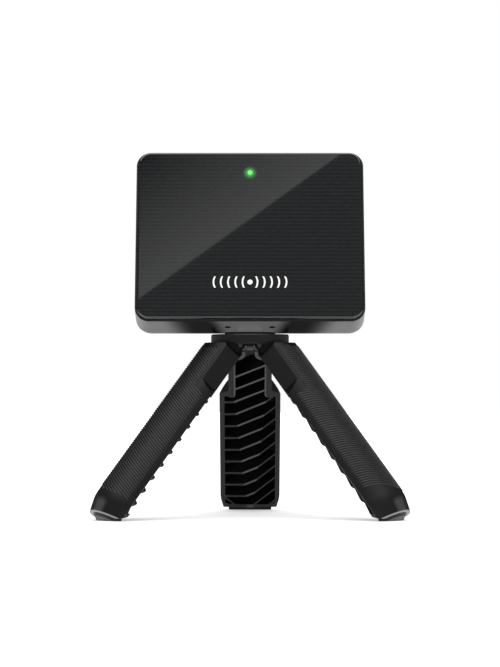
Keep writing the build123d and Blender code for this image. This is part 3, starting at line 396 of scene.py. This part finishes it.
def leg_black():
    """Glass-filled nylon with a fine grain; a painted highlight makes the edges that face into the folded bundle
    lighter.
    """
    g = Graph("leg_black", grey(0.007, 0.06), 0.42)
    slow = g.noise(45.0, 4.0)
    fine = g.noise(FINE_GRAIN, 3.0, 0.65)
    from_axis = g.vector("MULTIPLY", g.vector("SUBTRACT", g.place, (0, axis_y, 0)), (1, 1, 0))
    normal = g.normal()
    outward = g.dot(normal, g.vector("NORMALIZE", from_axis))
    upward = g.dot(normal, (0, 0, 1))
    into_bundle = g.plus(g.times(outward, -cos(LEG_TILT)), g.times(upward, -sin(LEG_TILT)))
    # A painted highlight lightens the rims that face into the bundle.
    rim = g.ramp(into_bundle, 0.8, 0.95, smooth=True)
    grain = g.ramp(g.plus(g.times(slow, 0.6), g.times(fine, 0.4)), 0.35, 0.65)
    plain = g.mix(grain, grey(0.004, 0.06), grey(0.008, 0.06))
    rim_highlight = g.mix(grain, grey(0.06, 0.03), grey(0.09, 0.03))
    # A faint glow paints a highlight in a band on each side of the toe and a highlight line round its lower edge.
    short, down = leg_place(g)
    sideways = g.math("ABSOLUTE", g.add("ShaderNodeSeparateXYZ", {0: normal}).outputs["X"])
    beside = g.times(g.ramp(sideways, 0.48, 0.6), g.ramp(sideways, 0.86, 0.74))
    toe_highlight = g.times(beside, g.ramp(down, TOE_FROM, TOE_TO))
    edge_highlight = g.times(g.ramp(short, 0.00036, 0.00014), g.ramp(outward, 0.1, 0.4))
    # Painted shade darkens the leg where its surface turns away from the viewer.
    unshaded = painted_view_shade(g)
    g.shade(
        Base_Color=g.mix(rim, g.mix(unshaded, grey(0.001), plain), rim_highlight),
        Roughness=g.ramp(g.plus(slow, g.times(fine, 0.5)), 0.4, 1.1, 0.38, 0.5),
        Specular_IOR_Level=g.times(unshaded, 0.16),
        Normal=g.bump(fine, GRAIN_DEPTH, 0.6),
        Emission_Color=grey(1.0),
        Emission_Strength=g.plus(g.times(toe_highlight, TOE_HIGHLIGHT_GLOW), g.times(edge_highlight, EDGE_HIGHLIGHT_GLOW)),
    )
    return g.material


def ridge_black():
    """The ridges' crests, a little lighter than the leg under them: a painted highlight."""
    g = moulded("ridge_black", 0.02, 0.4, FINE_GRAIN)
    # Painted shade darkens the crests where they turn away from the viewer.
    unshaded = painted_view_shade(g)
    g.shade(
        Base_Color=g.mix(unshaded, grey(0.002), g.mix(g.noise(FINE_GRAIN), grey(0.018), grey(0.03))),
        Specular_IOR_Level=g.times(unshaded, 0.35),
    )
    return g.material


def seal_rubber():
    """The black rubber of the seals."""
    g, _, _ = rubber_graph("seal_rubber", 0.03)
    return g.material


def pad_rubber():
    """The pads' rubber: fine crossed grooves, and a shadow line under the end of each leg."""
    g, bloom, normal = rubber_graph("pad_rubber", 0.13)
    east = g.wave(g.along((0.8, 0.6, 0.0)), HATCH_PITCH)
    north = g.wave(g.along((-0.6, 0.8, 0.3)), HATCH_PITCH)
    short, _ = leg_place(g)
    g.shade(
        Base_Color=g.mix(g.ramp(short, -0.0012, -0.0008), bloom, grey(0.002)),
        Normal=g.bump(g.math("MAXIMUM", east, north), 0.00012, 0.9, normal),
    )
    return g.material


# ---------------------------------------------------------------- a material for every piece

INSERT_PITCH = 0.0006
STUD_PITCH = 0.00127

materials = {
    "cover_gloss": cover_gloss(),
    "housing_matte": housing("housing_matte"),
    "lens_green": lens_green(),
    "mark_white": mark_white(),
    "seal_rubber": seal_rubber(),
    "screw_steel": metal("screw_steel", (0.16, 0.16, 0.17), 0.35),
    "insert_brass": metal("insert_brass", (0.78, 0.56, 0.24), 0.28, pitch=INSERT_PITCH),
    "board_green": circuit_board(),
    "patch_gold": metal("patch_gold", (0.86, 0.64, 0.28), 0.3, (1, 0, 0)),
    "shield_tin": metal("shield_tin", (0.66, 0.66, 0.67), 0.3, (1, 0, 0)),
    "frame_nylon": moulded("frame_nylon", 0.02, 0.5).material,
    "connector_black": moulded("connector_black", 0.025, 0.4).material,
    "battery_foil": battery_foil(),
    "foam_grey": foam(),
    "membrane_white": membrane(),
    "button_black": moulded("button_black", 0.02, 0.3).material,
    "leg_black": leg_black(),
    "pad_rubber": pad_rubber(),
    "stud_steel": metal("stud_steel", (0.58, 0.58, 0.6), 0.28, pitch=STUD_PITCH),
    "led_chip": moulded("led_chip", 0.7, 0.3, Emission_Color=LED_GREEN, Emission_Strength=0.5).material,
}

slot_of = {row["node"]: row["material_slot"] for row in frame["record"]["subparts"]}
for name, node in nodes.items():
    node.data.materials.clear()
    node.data.materials.append(materials[slot_of[name]])
# The foot under the head carries on the housing's painted reflection, its pale sheen and dark zones, on the side
# that shows from the front.
nodes["base_foot"].data.materials[0] = housing("foot_nylon", (0, -1, 0), 0.1)

# ---------------------------------------------------------------- fine ridges on the legs' outer faces

ARC_CENTRE = -0.0026
ARC_RADIUS = 0.01299
RIDGE_PITCH = 0.00104
RIDGE_WIDTH = 0.00056
RIDGE_HEIGHT = 0.00026
RIDGE_SLOPE = 0.5
RIDGE_REACH = 0.0132
RIDGE_START = 0.0095
RIDGE_LEAD = 4
RIDGE_END = 0.0790
RIDGE_SPANS = 22
RIDGE_FADE = 5
CREST_DROP = 0.00123
CREST_MARGIN = 0.0015
NECK_REACH = 0.0082
BODY_START = 0.0272
RIDGE_PROFILE = [(-0.5, -0.4), (-0.36, 0.55), (-0.14, 1.0), (0.14, 1.0), (0.36, 0.55), (0.5, -0.4)]


class LegFrame:
    """A spread leg's own directions in the row frame: out from the tripod, across the leg, and down it."""

    def __init__(self, joint):
        self.across = Vector(joint["axis"])
        outward = Vector((self.across.y, -self.across.x, 0))
        self.hinge = Vector(joint["pos_m"])
        self.out = outward * cos(LEG_TILT) + Vector((0, 0, sin(LEG_TILT)))
        self.down = outward * sin(LEG_TILT) - Vector((0, 0, cos(LEG_TILT)))

    def on_arc(self, radius, angle, s):
        """A point round the leg's outer arc, a length s down the leg."""
        x = ARC_CENTRE + radius * cos(angle)
        return self.hinge + self.out * x + self.across * radius * sin(angle) + self.down * s


def on_the_grip(angle, s):
    """Whether a spot on the outer arc is clear of the leg's top, its toe and the neck's flat sides."""
    x = ARC_CENTRE + ARC_RADIUS * cos(angle)
    crest = x * tan(LEG_TILT) - CREST_DROP
    beside_neck = s < BODY_START and abs(ARC_RADIUS * sin(angle)) > NECK_REACH
    return crest + CREST_MARGIN < s < RIDGE_END and not beside_neck


def ridge_row(mesh, leg, share, middle):
    """The ridge's profile at one place along it; share runs from -1 to 1 across the leg."""
    angle = share * RIDGE_REACH / ARC_RADIUS
    s = middle + RIDGE_SLOPE * ARC_RADIUS * sin(angle)
    if not on_the_grip(angle, s):
        return None
    fade = min(1.0, (1 - abs(share)) * RIDGE_FADE)
    row = []
    for offset, rise in RIDGE_PROFILE:
        radius = ARC_RADIUS + RIDGE_HEIGHT * (rise * fade if rise > 0 else rise)
        row.append(mesh.verts.new(leg.on_arc(radius, angle, s + offset * RIDGE_WIDTH)))
    return row


def ridge_piece(name, leg):
    """Slanting ridges across the leg's round outer face."""
    mesh = bmesh.new()
    count = int((RIDGE_END - RIDGE_START) / RIDGE_PITCH)
    for index in range(-RIDGE_LEAD, count + 1):
        middle = RIDGE_START + index * RIDGE_PITCH
        shares = [2 * step / RIDGE_SPANS - 1 for step in range(RIDGE_SPANS + 1)]
        rows = [ridge_row(mesh, leg, share, middle) for share in shares]
        for first, second in zip(rows, rows[1:]):
            if first and second:
                for i in range(len(RIDGE_PROFILE) - 1):
                    mesh.faces.new((first[i], first[i + 1], second[i + 1], second[i]))
        present = [row for row in rows if row]
        if len(present) > 1:
            mesh.faces.new(present[0][::-1])
            mesh.faces.new(present[-1])
    loose = [v for v in mesh.verts if not v.link_faces]
    bmesh.ops.delete(mesh, geom=loose, context="VERTS")
    bmesh.ops.recalc_face_normals(mesh, faces=mesh.faces)
    data = bpy.data.meshes.new(name)
    mesh.to_mesh(data)
    mesh.free()
    data.polygons.foreach_set("use_smooth", [True] * len(data.polygons))
    piece = bpy.data.objects.new(name, data)
    bpy.context.scene.collection.objects.link(piece)
    return piece


ridge_material = ridge_black()
for joint in leg_joints:
    side = joint["child"].split("_")[1]
    piece = ridge_piece("grip_ridges_" + side, LegFrame(joint))
    piece.data.materials.append(ridge_material)
    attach(piece, joint["child"])

# ---------------------------------------------------------------- floor

FLOOR_HALF = 6.0
FLOOR_DROP = 0.0001
FLOOR_GLOW = 0.45


def floor_white():
    """White paper, with a little light of its own so that only the shadows at the feet show."""
    g = Graph("floor_white", grey(0.86), 0.75, Emission_Color=grey(1.0), Emission_Strength=FLOOR_GLOW)
    g.shade(
        Base_Color=g.mix(g.ramp(g.noise(3.0), 0.3, 0.7), grey(0.85), grey(0.87)),
        Roughness=g.ramp(g.noise(40.0), 0.3, 0.7, 0.7, 0.8),
    )
    return g.material


floor_data = bpy.data.meshes.new("floor")
floor_mesh = bmesh.new()
bmesh.ops.create_grid(floor_mesh, x_segments=8, y_segments=8, size=FLOOR_HALF)
floor_mesh.to_mesh(floor_data)
floor_mesh.free()
floor = bpy.data.objects.new("floor", floor_data)
bpy.context.scene.collection.objects.link(floor)
floor.location = (0, 0, -FLOOR_DROP)
floor_data.materials.append(floor_white())

# ---------------------------------------------------------------- light from above, and a white surround

SUN_STRENGTH = 3.6
SUN_SPREAD = 70
SUN_LEAN = 12
SURROUND_STRENGTH = 0.22
WHITE = (1, 1, 1, 1)

sun_data = bpy.data.lights.new("sky_soft", "SUN")
sun_data.energy = SUN_STRENGTH
sun_data.angle = radians(SUN_SPREAD)
sun = bpy.data.objects.new("sky_soft", sun_data)
bpy.context.scene.collection.objects.link(sun)
sun.rotation_euler = (radians(SUN_LEAN), 0, 0)

# The camera sees a white background, and everything else is lit by a dimmer one.
world = bpy.data.worlds.new("studio")
bpy.context.scene.world = world
world.use_nodes = True
tree = world.node_tree
seen = tree.nodes["Background"]
seen.inputs["Color"].default_value = WHITE
dim = tree.nodes.new("ShaderNodeBackground")
dim.inputs["Color"].default_value = WHITE
dim.inputs["Strength"].default_value = SURROUND_STRENGTH
paths = tree.nodes.new("ShaderNodeLightPath")
pick = tree.nodes.new("ShaderNodeMixShader")
tree.links.new(paths.outputs["Is Camera Ray"], pick.inputs[0])
tree.links.new(dim.outputs[0], pick.inputs[1])
tree.links.new(seen.outputs[0], pick.inputs[2])
tree.links.new(pick.outputs[0], tree.nodes["World Output"].inputs[0])

# ---------------------------------------------------------------- camera

CAMERA_BACK = 1.0
CAMERA_HEIGHT = 0.0471
CAMERA_PITCH = 1.371
CAMERA_SENSOR = 36.0
CAMERA_LENS = 138.894

camera_data = bpy.data.cameras.new("camera")
camera_data.sensor_width = CAMERA_SENSOR
camera_data.lens = CAMERA_LENS
camera_data.clip_start = 0.01
camera_data.clip_end = 100.0
camera = bpy.data.objects.new("camera", camera_data)
bpy.context.scene.collection.objects.link(camera)
camera.location = (0, axis_y - CAMERA_BACK, CAMERA_HEIGHT)
camera.rotation_euler = (radians(90 + CAMERA_PITCH), 0, 0)
bpy.context.scene.camera = camera

# ---------------------------------------------------------------- the card that the tilted front mirrors

CARD_DISTANCE = 1.5
CARD_WIDTH = 1.4
CARD_HEIGHT = 0.30
CARD_SLOPE = radians(35.59)
CARD_LIFT = 0.012
CARD_BRIGHT = 0.85
CARD_FAINT = 0.04
CARD_FADE = 0.115


def card_glow():
    """Light that is brightest along the card's lower edge and fades above it."""
    g = Graph("card_glow", grey(0.0), 1.0, Emission_Color=grey(1.0))
    height = g.along((0, 1, 0))
    low = -CARD_HEIGHT / 2
    g.shade(Emission_Strength=g.ramp(height, low, low + CARD_FADE, CARD_BRIGHT, CARD_FAINT))
    return g.material


# The reflection of the card's lower edge runs slanting across the face.
face_low, face_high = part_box("front_cover")
face_centre = Vector((0, (face_low.y + face_high.y) / 2, (face_low.z + face_high.z) / 2))
sight = (face_centre - camera.location).normalized()
mirrored = sight - 2 * sight.dot(face_normal) * face_normal
side_axis = Vector((1, 0, 0))
up_axis = side_axis.cross(-mirrored).normalized()
if up_axis.z < 0:
    up_axis = -up_axis
edge_direction = side_axis * cos(CARD_SLOPE) + up_axis * sin(CARD_SLOPE)
edge_normal = up_axis * cos(CARD_SLOPE) - side_axis * sin(CARD_SLOPE)
card_centre = face_centre + mirrored * CARD_DISTANCE + edge_normal * (CARD_HEIGHT / 2 + CARD_LIFT)
card_turn = Matrix((edge_direction, edge_normal, mirrored)).transposed()

card_data = bpy.data.meshes.new("gloss_card")
corner_signs = ((-1, -1), (1, -1), (1, 1), (-1, 1))
card_corners = [(x * CARD_WIDTH / 2, y * CARD_HEIGHT / 2, 0) for x, y in corner_signs]
card_data.from_pydata(card_corners, [], [(0, 1, 2, 3)])
card = bpy.data.objects.new("gloss_card", card_data)
bpy.context.scene.collection.objects.link(card)
card.matrix_world = Matrix.Translation(card_centre) @ card_turn.to_4x4()
card.visible_camera = False
card.visible_shadow = False
card_data.materials.append(card_glow())

bpy.context.scene.view_settings.view_transform = "Standard"
